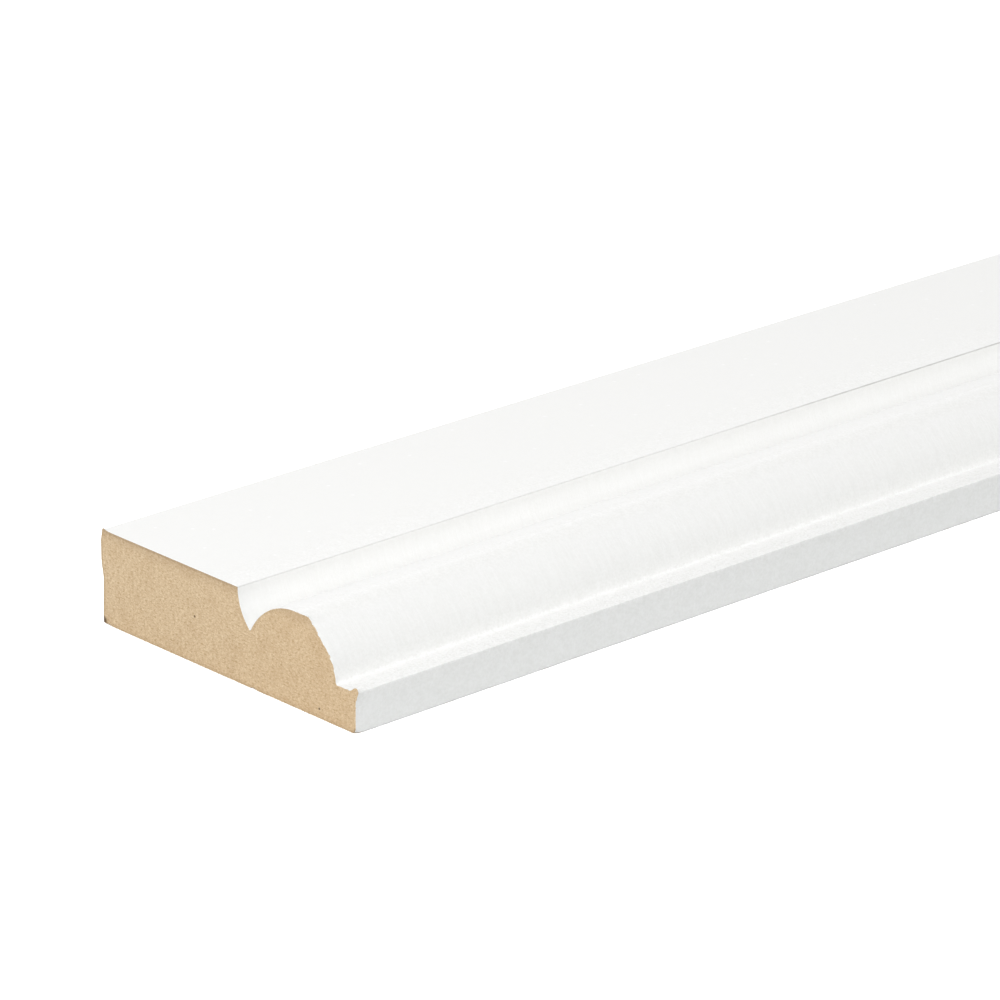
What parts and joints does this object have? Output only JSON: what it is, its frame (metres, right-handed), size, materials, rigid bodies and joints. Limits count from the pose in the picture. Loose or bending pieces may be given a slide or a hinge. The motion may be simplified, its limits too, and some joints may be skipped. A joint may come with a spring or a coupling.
{
  "type": "architrave moulding",
  "caption": "White-primed fibreboard architrave moulding: flat board with a quirk, roll and fillet along its thin edge, cut square at both ends.",
  "frame": {"origin": "middle of the flat back, half way along the length and half way across the width", "axes": "+X along the length, +Y from the thin nose edge to the thick outer edge, +Z from the back to the face"},
  "size_m": [2.1, 0.069, 0.018],
  "materials": {
    "primed_fibreboard": "matt white primer on the face and both edges, raw tan fibreboard on the cut ends and the back"
  },
  "bodies": {
    "root": {"architrave_moulding": "primed_fibreboard"}
  },
  "joints": []
}
